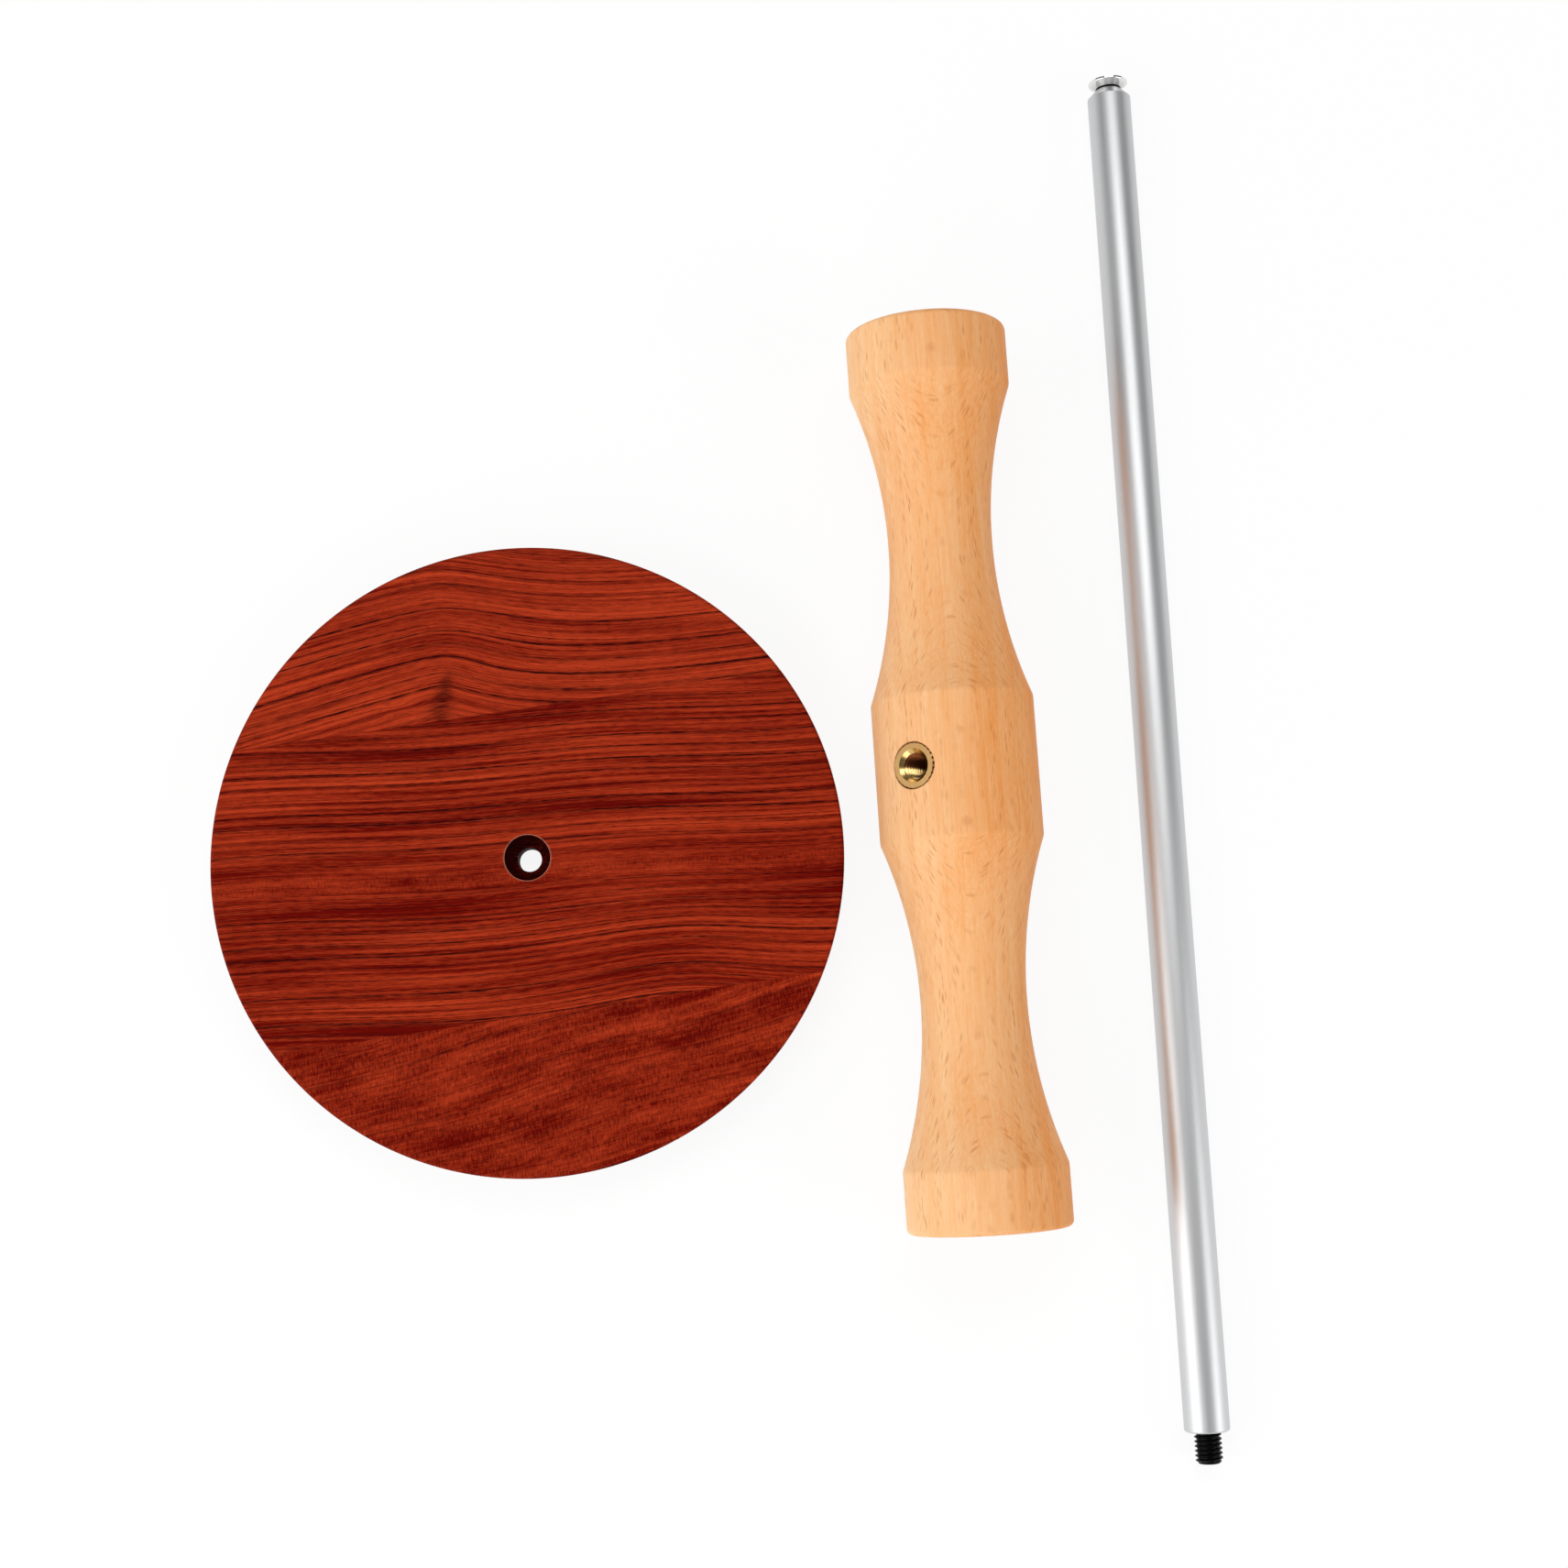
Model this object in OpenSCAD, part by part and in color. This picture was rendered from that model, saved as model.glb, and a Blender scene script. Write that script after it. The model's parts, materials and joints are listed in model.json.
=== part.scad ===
// Knock-down T-stand, laid out flat in its three loose groups: a round base of three glued staves,
// a turned crossbar with a threaded insert in its side, and a metal rod with a screw in each end.
// Units are millimetres. The origin is on the axis of the base's hole, at the table, and +Z is up.

/* [Base] */
// Diameter of the round base
base_d = 141; // [100:1:200]
// Thickness of the base
base_t = 12; // [10:0.5:25]
// Radius that eases the base's upper and lower rims
base_edge = 0.8; // [0.3:0.1:3]
// Width of the middle stave, from glue line to glue line
stave_w = 68; // [40:1:90]
// Distance of the middle stave's centre line from the base's centre, across the grain
stave_off = -0.7; // [-8:0.1:8]
// Angle between the staves' grain and the X axis
stave_turn = 8.5; // [-45:0.5:45]

/* [Rod] */
// Diameter of the rod
rod_d = 10; // [8:0.5:16]
// Length of the rod, with its chamfered nose
rod_l = 307.5; // [150:0.5:450]
// Width of the 45 degree chamfer on the end that stands in the base
rod_nose = 2.1; // [0.5:0.1:4]
// Least width of the flat ring left round the screw hole in that end
rod_land = 0.3; // [0.1:0.1:1]
// Width of the small chamfer on the end that meets the crossbar
rod_edge = 0.3; // [0.1:0.1:1]

/* [Rod socket in the base] */
// Depth of the socket from the top face to the foot of its cone
socket_depth = 5.3; // [4:0.1:7]
// Radial clearance of the rod in the socket
socket_fit = 0.1; // [0.05:0.05:0.3]

/* [Base screw] */
// Thread diameter of the countersunk screw that holds the rod down
screw_d = 5; // [4:0.5:6]
// Length of the screw, with its head
screw_l = 16; // [12:1:25]
// Diameter of its head
screw_head_d = 9.1; // [8:0.1:12]
// Width of the 45 degree chamfer on its tip
screw_edge = 0.7; // [0.3:0.1:1]
// Height of the cone under the head
screw_cone_h = 1.3; // [1:0.1:2]
// Height of the head's straight rim
screw_rim_h = 0.5; // [0.2:0.1:1]
// Gap between the screw's cone and the rod's end, as the screw is kept in the rod
screw_gap = 0.15; // [0.1:0.05:2]
// Radial clearance of the screw and its head in the base
screw_fit = 0.2; // [0.1:0.05:0.4]
// Span of the cross recess in the head
recess_span = 4.8; // [3:0.1:5]
// Width of each wing of the cross recess
recess_w = 1; // [0.6:0.1:1.4]
// Depth of the cross recess
recess_h = 2.2; // [1.2:0.1:3]

/* [Crossbar stud] */
// Thread diameter of the headless screw in the rod's other end
stud_d = 6; // [4:0.5:7]
// Thread pitch of the stud and of the insert that takes it
stud_pitch = 1; // [0.7:0.05:1.25]
// Length of the stud
stud_l = 16; // [12:1:25]
// Length of the stud that stands out of the rod
stud_out = 6.9; // [4:0.1:9]
// Width of the 45 degree chamfer on each end of the stud
stud_edge = 0.7; // [0.3:0.1:1]
// Width across the flats of the hexagon socket in the stud's outer end
hex_w = 3; // [1.5:0.5:4]
// Depth of the hexagon socket
hex_h = 3.5; // [2:0.5:5]
// Radial clearance of a plain screw body in its hole in the rod
thread_fit = 0.05; // [0.02:0.01:0.1]
// Length of hole left beyond a screw's inner end
drill_spare = 1.5; // [0.5:0.5:4]
// Point angle of the drill that made the blind holes
drill_point = 118; // [90:1:140]

/* [Crossbar] */
// Length of the crossbar
bar_l = 200; // [150:1:300]
// Diameter of its two ends and of its middle barrel
bar_d = 36; // [30:1:60]
// Diameter of its two waists
waist_d = 23.2; // [15:0.1:28]
// Length of the straight part at each end
bar_end_l = 13.5; // [5:0.5:30]
// Length of the straight barrel in the middle
barrel_l = 31; // [20:0.5:50]
// Radius that eases the rims of the two end faces
bar_edge = 1.3; // [0.3:0.1:4]

/* [Threaded insert] */
// Diameter of the insert over its knurl
insert_d = 10.3; // [8.5:0.1:14]
// Length of the insert
insert_l = 12; // [8:0.5:14]
// Depth of its mouth below the barrel's crown
insert_sink = 0.6; // [0.2:0.1:1.5]
// Number of grooves in the knurl
knurl_n = 28; // [16:1:40]
// Depth of each knurl groove
knurl_h = 0.35; // [0.1:0.05:0.5]
// Width of the chamfer in the mouth of the thread
mouth_edge = 0.8; // [0.3:0.1:1.2]
// Width of the chamfer round the insert's two rims
insert_edge = 0.3; // [0.1:0.1:0.4]
// Radial clearance of the insert in its seat in the wood
insert_fit = 0.02; // [0.01:0.01:0.1]
// Depth of the insert's seat beyond its inner end
seat_spare = 2; // [0.5:0.5:4]
// Lean of the insert from straight up, towards the base, as the crossbar lies
insert_lean = 37; // [0:1:90]

/* [Layout on the table] */
// Gap between the base's rim and the crossbar
bar_gap = 7.7; // [1:0.1:60]
// Distance of the crossbar's middle along its own line from the point nearest to the base's centre
bar_slide = 12.7; // [-100:0.1:100]
// Turn of the crossbar from the Y axis
bar_turn = 3.6; // [-5:0.1:5]
// Gap between the crossbar and the rod, square to the rod
rod_gap = 23.7; // [15:0.1:80]
// Distance of the rod's stud end along its own line from the point nearest to the base's centre
rod_slide = -132.9; // [-250:0.1:0]
// Turn of the rod from the Y axis
rod_turn = 3; // [-5:0.1:5]

/* [Hidden] */
$fn = 180;

// A cutter's overshoot past the face it opens
over = 1;

rosewood_rear = "#8f3216";
rosewood_middle = "#7f2413";
rosewood_front = "#862a15";
beech = "#efb67f";
brass = "#c8a45e";
aluminium = "#c9cbcd";
nickel = "#d6d7d9";
black_oxide = "#1b1b1d";

// The nose's chamfer stops short of the screw hole in the rod's end
rod_screw_hole_d = screw_d + 2 * thread_fit;
rod_stud_hole_d = stud_d + 2 * thread_fit;
nose = min(rod_nose, (rod_d - rod_screw_hole_d) / 2 - rod_land);

// The base's socket and the screw hole below it
socket_r = rod_d / 2 + socket_fit;
socket_foot_z = base_t - socket_depth;
screw_hole_r = screw_d / 2 + screw_fit;
head_seat_r = screw_head_d / 2 + screw_fit;
screw_head_h = screw_cone_h + screw_rim_h;

// The crossbar's two coves are arcs through the arrises and the waist
cove_l = (bar_l - barrel_l) / 2 - bar_end_l;
cove_sink = (bar_d - waist_d) / 2;
cove_r = (cove_l * cove_l / 4 + cove_sink * cove_sink) / (2 * cove_sink);
cove_mid = (barrel_l + cove_l) / 2;

// The insert's core takes the stud's thread, and its inner end lies in the barrel
insert_core_d = stud_d - stud_pitch;
insert_foot = bar_d / 2 - insert_sink - insert_l;

// Distance of the crossbar's and the rod's lines from the base's centre
bar_far = base_d / 2 + bar_gap + bar_d / 2;
rod_far = bar_far + bar_d / 2 + rod_gap + rod_d / 2;

// Frame of the crossbar, with its length along Y and its middle at 0
module at_crossbar() rotate(bar_turn) translate([bar_far, bar_slide, bar_d / 2]) children();

// Frame of the insert, with its inner end at 0 and its mouth upwards at insert_l
module at_insert() at_crossbar() rotate([0, -insert_lean, 0]) translate([0, 0, insert_foot]) children();

// Frame of the rod, with its stud end at 0 and its nose upwards at rod_l
module at_rod() rotate(rod_turn) translate([rod_far, rod_slide, rod_d / 2]) rotate([-90, 0, 0]) children();

// Half profile of a turned piece from z = 0 to z = h whose two rims are eased by a radius
module eased_half(r, h, edge) {
    square([r - edge, h]);
    translate([0, edge]) square([r, h - 2 * edge]);
    for (z = [edge, h - edge]) translate([r - edge, z]) circle(edge);
}

// Straight cylinder from z = 0 to z = h with a 45 degree chamfer on each end
module chamfered_bar(d, h, low, high) {
    r = d / 2;
    rotate_extrude() polygon([[0, 0], [r - low, 0], [r, low], [r, h - high], [r - high, h], [0, h]]);
}

// Blind hole from z = 0 downwards, with the cone that the drill's point leaves
module drilled(d, depth) {
    point_h = d / 2 / tan(drill_point / 2);
    translate([0, 0, -depth]) cylinder(d = d, h = depth + over);
    translate([0, 0, -depth - point_h]) cylinder(d1 = 0, d2 = d, h = point_h);
}

module base_disc() rotate_extrude() eased_half(base_d / 2, base_t, base_edge);

// Socket for the rod and its nose, the screw's hole and the seat of the screw's head underneath
module base_bores() {
    cone_z = socket_foot_z + nose;
    translate([0, 0, cone_z]) cylinder(r = socket_r, h = base_t - cone_z + over);
    translate([0, 0, socket_foot_z]) cylinder(r1 = socket_r - nose, r2 = socket_r, h = nose);
    translate([0, 0, screw_head_h]) cylinder(r = screw_hole_r, h = base_t);
    translate([0, 0, screw_rim_h]) cylinder(r1 = head_seat_r, r2 = screw_hole_r, h = screw_cone_h);
    translate([0, 0, -over]) cylinder(r = head_seat_r, h = screw_rim_h + over);
}

// Board that reaches over the whole base along its grain, between two distances across it
module board(from, to) {
    rotate(stave_turn) translate([-base_d, from, -over]) cube([2 * base_d, to - from, base_t + 2 * over]);
}

module base_stave_rear() color(rosewood_rear) intersection() {
    base_disc();
    board(stave_off + stave_w / 2, base_d);
}

module base_stave_middle() color(rosewood_middle) difference() {
    intersection() {
        base_disc();
        board(stave_off - stave_w / 2, stave_off + stave_w / 2);
    }
    base_bores();
}

module base_stave_front() color(rosewood_front) intersection() {
    base_disc();
    board(-base_d, stave_off - stave_w / 2);
}

// Half profile of the crossbar, with its length along the profile's Y and its middle at 0
module crossbar_half() difference() {
    translate([0, -bar_l / 2]) eased_half(bar_d / 2, bar_l, bar_edge);
    for (side = [-1, 1]) translate([waist_d / 2 + cove_r, side * cove_mid]) circle(cove_r);
}

module crossbar() color(beech) difference() {
    at_crossbar() rotate([-90, 0, 0]) rotate_extrude() crossbar_half();
    at_insert() translate([0, 0, -seat_spare]) cylinder(r = insert_d / 2 + insert_fit, h = bar_d);
}

// Round section with a V groove for each tooth of the knurl
module knurled_section() difference() {
    circle(d = insert_d);
    for (i = [0 : knurl_n - 1]) rotate(i * 360 / knurl_n) translate([insert_d / 2, 0])
        rotate(45) square(knurl_h * sqrt(2), center = true);
}

module threaded_insert() color(brass) at_insert() difference() {
    intersection() {
        linear_extrude(insert_l) knurled_section();
        chamfered_bar(insert_d, insert_l, insert_edge, insert_edge);
    }
    translate([0, 0, -over]) cylinder(d = insert_core_d, h = insert_l + 2 * over);
    translate([0, 0, insert_l - mouth_edge])
        cylinder(d1 = insert_core_d, d2 = insert_core_d + 2 * mouth_edge, h = mouth_edge);
}

module rod() color(aluminium) at_rod() difference() {
    chamfered_bar(rod_d, rod_l, rod_edge, nose);
    translate([0, 0, rod_l]) drilled(rod_screw_hole_d, screw_l - screw_head_h - screw_gap + drill_spare);
    mirror([0, 0, 1]) drilled(rod_stud_hole_d, stud_l - stud_out + drill_spare);
}

// Recess for a cross driver: two crossed slots, drawn to a point by a cone
module cross_recess() intersection() {
    translate([0, 0, -recess_h]) cylinder(d1 = recess_w, d2 = recess_span, h = recess_h);
    for (turn = [0, 90]) rotate(turn) translate([-recess_span / 2, -recess_w / 2, -recess_h])
        cube([recess_span, recess_w, recess_h + over]);
}

module base_screw() color(nickel) at_rod() translate([0, 0, rod_l + screw_gap + screw_head_h]) difference() {
    union() {
        translate([0, 0, -screw_l]) chamfered_bar(screw_d, screw_l - screw_head_h, screw_edge, 0);
        translate([0, 0, -screw_head_h]) cylinder(d1 = screw_d, d2 = screw_head_d, h = screw_cone_h);
        translate([0, 0, -screw_rim_h]) cylinder(d = screw_head_d, h = screw_rim_h);
    }
    cross_recess();
}

module crossbar_stud() color(black_oxide) at_rod() translate([0, 0, -stud_out]) difference() {
    chamfered_bar(stud_d, stud_l, stud_edge, stud_edge);
    translate([0, 0, -over]) cylinder(d = hex_w / cos(30), h = hex_h + over, $fn = 6);
}

base_stave_rear();
base_stave_middle();
base_stave_front();
crossbar();
threaded_insert();
rod();
base_screw();
crossbar_stud();
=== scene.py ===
"""Knock-down T-stand laid out flat: its eight pieces, their finishes and a studio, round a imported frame."""

import json
import math

import bmesh
import bpy
import numpy as np
from bpy.props import FloatProperty, FloatVectorProperty, IntProperty, PointerProperty
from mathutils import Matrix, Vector


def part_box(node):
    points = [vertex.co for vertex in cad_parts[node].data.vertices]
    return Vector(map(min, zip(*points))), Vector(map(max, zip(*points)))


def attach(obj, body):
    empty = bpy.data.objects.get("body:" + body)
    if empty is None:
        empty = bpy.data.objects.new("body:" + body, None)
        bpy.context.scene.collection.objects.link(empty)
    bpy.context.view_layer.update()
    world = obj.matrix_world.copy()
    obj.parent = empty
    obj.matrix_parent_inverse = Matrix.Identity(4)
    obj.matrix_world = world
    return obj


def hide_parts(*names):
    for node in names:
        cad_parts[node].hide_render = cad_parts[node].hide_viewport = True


bl_info = {
    "name": "Knock-down T-stand",
    "version": (1, 0, 0),
    "blender": (4, 5, 0),
    "location": "3D View > Sidebar > T-stand",
    "description": "Builds a laid-out T-stand of rosewood, beech and metal, with its studio",
    "category": "Add Mesh",
}

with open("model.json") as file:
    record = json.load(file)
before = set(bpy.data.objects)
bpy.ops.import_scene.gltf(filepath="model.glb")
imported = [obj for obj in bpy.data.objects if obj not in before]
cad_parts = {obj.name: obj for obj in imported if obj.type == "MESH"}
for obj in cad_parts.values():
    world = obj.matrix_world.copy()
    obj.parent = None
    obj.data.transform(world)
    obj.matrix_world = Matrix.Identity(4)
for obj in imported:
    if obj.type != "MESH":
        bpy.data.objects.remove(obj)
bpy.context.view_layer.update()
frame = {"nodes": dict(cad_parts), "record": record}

MM = 0.001
TURN = 2 * math.pi
UP = np.array([0.0, 0.0, 1.0])
# Points closer than this become one
WELD = 0.001 * MM

RECORD = frame["record"]
MOUNTS = {mount["name"]: mount for mount in RECORD["mounts"]}
BODIES = {node: body for body, nodes in RECORD["behaviour"]["bodies"].items() for node in nodes}


# Values that come from the frame


def mount_axis(name):
    """Point and unit direction of a mount."""
    return np.array(MOUNTS[name]["pos_m"], float), np.array(MOUNTS[name]["axis"], float)


def mount_radius(name):
    """Radius of a mount, in metres."""
    return MOUNTS[name]["dims"]["r_mm"] * MM


def mesh_points(thing):
    """Points of an object's mesh, one row each."""
    points = np.empty(len(thing.data.vertices) * 3)
    thing.data.vertices.foreach_get("co", points)
    return points.reshape(-1, 3)


def reach(node, origin, along):
    """Lowest and highest place of a CAD node's points along an axis through the origin given."""
    places = (mesh_points(frame["nodes"][node]) - origin) @ along
    return places.min(), places.max()


def axes(along, up):
    """Rows are the unit vectors sideways, upwards and along, with upwards made square to along."""
    up = up - along * (up @ along)
    up = up / np.linalg.norm(up)
    return np.stack([np.cross(up, along), up, along])


BASE_LOW, BASE_HIGH = (np.array(corner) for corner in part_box("base_stave_middle"))
ROD_POINT, ROD_ALONG = mount_axis("pole")
ROD_FOOT, ROD_TOP = reach("rod", ROD_POINT, ROD_ALONG)
ROD_AXES = axes(ROD_ALONG, UP)
INSERT_THREAD, INSERT_OUT = mount_axis("insert_thread")
INSERT_FACE = INSERT_THREAD + INSERT_OUT * reach("threaded_insert", INSERT_THREAD, INSERT_OUT)[1]
BAR_LOW, BAR_HIGH = (np.array(corner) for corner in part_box("crossbar"))
BAR_CENTRE = (BAR_LOW + BAR_HIGH) / 2
BAR_ALONG = np.cross(UP, INSERT_OUT) / -np.linalg.norm(np.cross(UP, INSERT_OUT))
BAR_AXES = axes(BAR_ALONG, INSERT_OUT)
BAR_TURN = math.atan2(-BAR_ALONG[0], BAR_ALONG[1])
ROD_TURN = math.atan2(-ROD_ALONG[0], ROD_ALONG[1])


# Properties


def linear(code):
    """Linear RGB of an sRGB hex colour."""
    srgb = np.array([int(code[place:place + 2], 16) for place in (1, 3, 5)]) / 255
    return tuple(np.where(srgb <= 0.04045, srgb / 12.92, ((srgb + 0.055) / 1.055) ** 2.4).tolist())


def length(name, millimetres, text):
    """Property for a length, whose default is given in millimetres."""
    return FloatProperty(name=name, description=text, default=millimetres * MM, unit="LENGTH", precision=5)


def turn(name, degrees, text):
    """Property for an angle, whose default is given in degrees."""
    return FloatProperty(name=name, description=text, default=math.radians(degrees), subtype="ANGLE")


def colour(name, code, text):
    """Property for a colour, whose default is given as sRGB hex."""
    return FloatVectorProperty(name=name, description=text, default=linear(code), subtype="COLOR", size=3)


def share(name, value, text):
    """Property for a share from 0 to 1."""
    return FloatProperty(name=name, description=text, default=value, subtype="FACTOR", min=0, max=1)


class BaseSettings(bpy.types.PropertyGroup):
    """Sizes and colours of the round base and its three boards."""

    ease: length("Rim ease", 0.8, "Radius that eases the upper and lower rims")
    rear_glue: length("Rear glue line", 33.3, "Distance of the rear glue line from the base's centre")
    front_glue: length("Front glue line", 34.7, "Distance of the front glue line from the base's centre")
    board_turn: turn("Board turn", 8.5, "Angle between the boards' grain and the X axis")
    cone_h: length("Socket cone", 2.1, "Height of the cone at the foot of the rod's socket")
    socket_depth: length("Socket depth", 5.3, "Depth of the socket, with its cone")
    seat_r: length("Head seat radius", 4.75, "Radius of the seat for the screw's head")
    seat_rim_h: length("Head seat rim", 0.5, "Height of the straight part of that seat")
    arris: length("Socket arris", 0.12, "Width of the eased edge at the socket's mouth")
    orange: colour("Orange heartwood", "#b63b1c", "Lightest bands of the rosewood")
    red: colour("Red heartwood", "#640702", "Deepest bands of the rosewood")
    # The dark colour also paints the shade in the socket's bore
    dark: colour("Growth line", "#2a0203", "Dark lines, pores and the knot")
    # Painted highlight on the socket's eased mouth edge
    rim_highlight: colour("Worn edge", "#d39a80", "Pale edge at the socket's mouth")


class CrossbarSettings(bpy.types.PropertyGroup):
    """Sizes and colours of the turned crossbar."""

    waist_d: length("Waist", 23.2, "Diameter of the two waists")
    end_l: length("End length", 13.5, "Length of the straight part at each end")
    barrel_l: length("Barrel length", 31, "Length of the straight barrel in the middle")
    ease: length("End ease", 1.3, "Radius that eases the rims of the end faces")
    arris: length("Arris ease", 0.5, "Half length of the softened arrises between coves and straight parts")
    seat_d: length("Seat diameter", 10.34, "Diameter of the seat bored for the insert")
    seat_depth: length("Seat depth", 14, "Depth of the seat below the insert's mouth")
    pale: colour("Pale wood", "#f4c795", "Light ground of the beech")
    tan: colour("Tan wood", "#ea9447", "Darker growth layers of the beech")
    fleck: colour("Ray", "#c4763a", "Edges of the rays")


class InsertSettings(bpy.types.PropertyGroup):
    """Sizes and colours of the knurled threaded insert."""

    outer_d: length("Diameter", 10.3, "Diameter over the knurl")
    bush_l: length("Length", 12, "Length of the insert")
    knurl_n: IntProperty(name="Knurl grooves", description="Number of grooves in the knurl", default=28)
    knurl_h: length("Knurl depth", 0.35, "Depth of each knurl groove")
    rim: length("Rim chamfer", 0.3, "Width of the chamfer round the two rims")
    mouth: length("Mouth chamfer", 1.2, "Width of the chamfer in the thread's mouth")
    thread_d: length("Thread diameter", 6, "Largest diameter of the thread")
    pitch: length("Pitch", 1, "Thread pitch")
    metal: colour("Brass", "#dcb878", "Freshly cut brass of the mouth and the thread")
    # Also the colour of the painted shade on one side of the bore
    oil_and_painted_shade: colour("Oil", "#5a1604", "Dark oil in the thread, and in a thin film on the face")
    film: share("Film", 0.5, "Share of oil and tarnish on the face and the knurl")


class RodSettings(bpy.types.PropertyGroup):
    """Sizes and colours of the pole."""

    nose: length("Nose chamfer", 2.1, "Width of the chamfer on the end that stands in the base")
    edge: length("End chamfer", 0.3, "Width of the small chamfer on the other end")
    screw_hole_d: length("Screw hole", 5.1, "Diameter of the hole in the nose")
    screw_hole_l: length("Screw hole depth", 15.55, "Depth of the hole in the nose")
    stud_hole_d: length("Stud hole", 6.1, "Diameter of the hole in the other end")
    stud_hole_l: length("Stud hole depth", 10.6, "Depth of the hole in the other end")
    drill_point: turn("Drill point", 118, "Point angle of the drill that made the holes")
    metal: colour("Aluminium", "#d0d1d2", "Satin aluminium")


class ScrewSettings(bpy.types.PropertyGroup):
    """Sizes and colours of the countersunk base screw."""

    thread_d: length("Thread diameter", 5, "Largest diameter of the thread")
    pitch: length("Pitch", 0.8, "Thread pitch")
    tip: length("Tip chamfer", 0.7, "Width of the chamfer on the tip")
    head_d: length("Head diameter", 9.1, "Diameter of the countersunk head")
    cone_h: length("Head cone", 1.3, "Height of the cone under the head")
    rim_h: length("Head rim", 0.5, "Height of the head's straight rim")
    recess_span: length("Recess span", 4.8, "Span of the cross recess")
    recess_w: length("Recess wing", 1, "Width of each wing of the cross recess")
    recess_h: length("Recess depth", 2.2, "Depth of the cross recess")
    metal: colour("Nickel", "#e6e6e4", "Bright nickel plate")
    # Painted shade in the corner under the head, thinning out down the thread
    oil_and_painted_shade: colour("Oil", "#101010", "Dark oil in the corner under the head")


class StudSettings(bpy.types.PropertyGroup):
    """Sizes and colours of the headless crossbar stud."""

    thread_d: length("Thread diameter", 6, "Largest diameter of the thread")
    pitch: length("Pitch", 1, "Thread pitch")
    edge: length("End chamfer", 0.7, "Width of the chamfer on each end")
    hex_w: length("Hexagon width", 3, "Width across the flats of the hexagon socket")
    hex_h: length("Hexagon depth", 3.5, "Depth of the hexagon socket")
    oxide: colour("Black oxide", "#050506", "Black oxide on steel")


class StageSettings(bpy.types.PropertyGroup):
    """Camera, floor and light."""

    eye: FloatVectorProperty(name="Camera place", description="Where the camera stands",
                             subtype="TRANSLATION", default=(0.05442, -0.04599, 0.5149))
    tilt: turn("Camera tilt", 7.083, "Lean of the camera from straight down")
    roll: turn("Camera roll", -0.3, "Sideways lean of the camera")
    lens: FloatProperty(name="Lens", description="Focal length in millimetres on a 36 mm sensor",
                        default=52.1)
    floor: colour("Floor", "#fafafa", "Plain pale floor")
    floor_r: length("Floor radius", 8000, "Radius of the round floor")
    floor_curl: length("Floor curl", 1000, "Height that the floor's far edge curls up to")
    floor_gap: length("Floor gap", 0.02, "Gap that keeps the floor clear of the faces that lie on it")
    plain_share: share("Plain share", 0.9, "Share of plain white in the floor")
    room: FloatProperty(name="Room light", description="Brightness of the room around the lamps",
                        default=0.14)


# Surfaces


def grid_faces(rows, columns, ring=True, loop=False):
    """Quads between neighbours in a grid of points. Ring closes the columns, and loop closes the rows."""
    row, column = np.meshgrid(np.arange(rows - (not loop)), np.arange(columns - (not ring)), indexing="ij")
    next_row = (row + 1) % rows * columns
    next_column = (column + 1) % columns
    row = row * columns
    corners = row + column, row + next_column, next_row + next_column, next_row + column
    return np.stack(corners, -1).reshape(-1, 4)


def stacked(x, y, z):
    """Points from three arrays that broadcast together."""
    return np.stack(np.broadcast_arrays(x, y, z), -1)


def turned(radius, height, angles, loop=False):
    """Turned surface: each profile row at each angle a is (r cos a, r sin a, z). Both r and z may change
    with a, and loop joins the last row to the first."""
    points = stacked(radius * np.cos(angles), radius * np.sin(angles), height)
    return points, grid_faces(*points.shape[:2], loop=loop)


def full_circle(columns):
    """Angles of that many columns, evenly round a full turn."""
    return np.arange(columns) / columns * TURN


def rows_of(*corners):
    """Profile as two columns of radius and height, one row for each corner given."""
    corners = np.array(corners, float)
    return corners[:, :1], corners[:, 1:]


def thread_ridge(phase):
    """Height of a 60 degree thread from root, 0, to crest, 1: a triangle wave whose lowest quarter and
    highest eighth are cut flat."""
    wave = np.abs(2 * (phase % 1) - 1)
    return np.clip((wave - 1 / 4) / (1 - 1 / 4 - 1 / 8), 0, 1)


def thread_depth(pitch):
    """Depth of that thread: five eighths of the height of a sharp 60 degree triangle of one pitch."""
    return 5 / 8 * math.cos(math.pi / 6) * pitch


def eased(start, corner, end, steps):
    """Parabola from start to end that leaves and arrives along the lines through the corner."""
    part = np.linspace(0, 1, steps + 1)[:, None]
    start, corner, end = (np.array(point, float) for point in (start, corner, end))
    return (1 - part) ** 2 * start + 2 * part * (1 - part) * corner + part ** 2 * end


def add_piece(name, node, patches, material, crisp=30):
    """One welded, smooth object from patches of (points, quads), with edges past the crisp angle in degrees
    kept sharp. It stands for a CAD node, rides on its body and wears the material given."""
    points = [patch[0].reshape(-1, 3) for patch in patches]
    starts = np.cumsum([0] + [len(patch) for patch in points])
    faces = [patch[1] + start for patch, start in zip(patches, starts)]
    mesh = bpy.data.meshes.new(name)
    mesh.from_pydata(np.concatenate(points).tolist(), [], np.concatenate(faces).tolist())
    shape = bmesh.new()
    shape.from_mesh(mesh)
    bmesh.ops.remove_doubles(shape, verts=shape.verts, dist=WELD)
    bmesh.ops.recalc_face_normals(shape, faces=shape.faces)
    shape.to_mesh(mesh)
    shape.free()
    mesh.shade_smooth()
    mesh.set_sharp_from_angle(angle=math.radians(crisp))
    mesh.materials.append(material)
    piece = bpy.data.objects.new(name, mesh)
    bpy.context.scene.collection.objects.link(piece)
    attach(piece, BODIES[node])
    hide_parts(node)
    return piece


def set_attribute(piece, name, *parts):
    """Stores one vector for each point of a piece's mesh, from its three parts."""
    layer = piece.data.attributes.new(name, "FLOAT_VECTOR", "POINT")
    layer.data.foreach_set("vector", np.stack(parts, -1).astype(np.float32).ravel())


# Materials

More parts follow.
